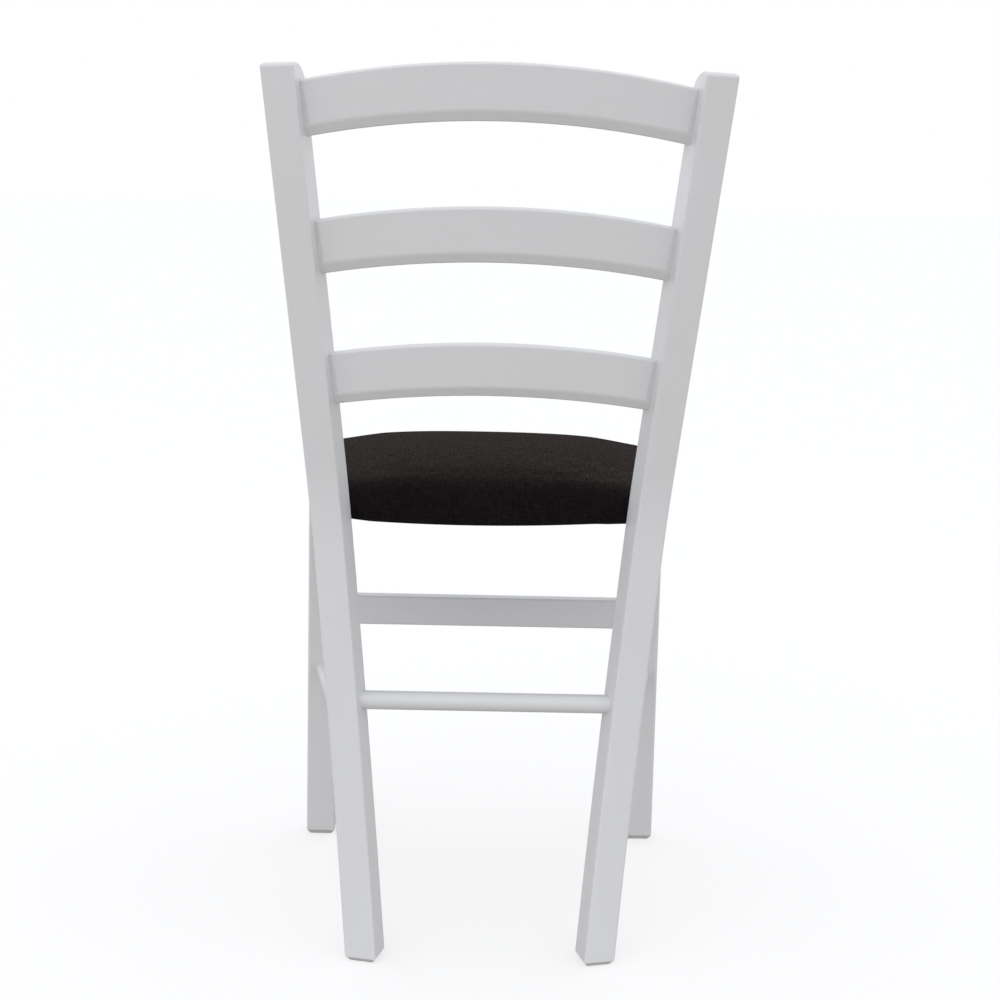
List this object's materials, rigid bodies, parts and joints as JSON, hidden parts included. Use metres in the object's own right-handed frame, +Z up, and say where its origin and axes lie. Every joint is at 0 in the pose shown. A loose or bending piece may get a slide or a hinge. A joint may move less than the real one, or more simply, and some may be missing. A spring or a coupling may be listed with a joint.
{
  "type": "upholstered dining chair",
  "caption": "Ladder-back dining chair: splayed, raked rear posts, bowed slats, square front legs, round rungs and a stuffed fabric seat on a dowelled wooden frame.",
  "frame": {"origin": "on the floor, under the middle of the chair's box", "axes": "+Z up, -Y the way a sitter faces, +X the sitter's left"},
  "size_m": [0.4344, 0.4935, 0.8807],
  "materials": {
    "white_lacquer": "satin lacquer",
    "raw_beech": "planed",
    "plywood": "sanded",
    "screw_steel": "zinc plated",
    "seat_foam": "open-cell foam",
    "seat_fabric": "fine weave",
    "dust_fabric": "non-woven felt"
  },
  "bodies": {
    "root": {"top_slat": "white_lacquer", "middle_slat": "white_lacquer", "lower_slat": "white_lacquer", "rear_post_left": "white_lacquer", "rear_post_right": "white_lacquer", "front_leg_left": "white_lacquer", "front_leg_right": "white_lacquer", "side_rung_left": "white_lacquer", "side_rung_right": "white_lacquer", "rear_rung": "white_lacquer", "front_stretcher": "white_lacquer", "seat_rail_front": "raw_beech", "seat_rail_rear": "raw_beech", "seat_rail_left": "raw_beech", "seat_rail_right": "raw_beech", "seat_rail_dowels": "raw_beech", "post_dowels": "raw_beech", "seat_board": "plywood", "seat_board_screws": "screw_steel", "seat_foam": "seat_foam", "seat_cover": "seat_fabric", "dust_cover": "dust_fabric"}
  },
  "joints": []
}
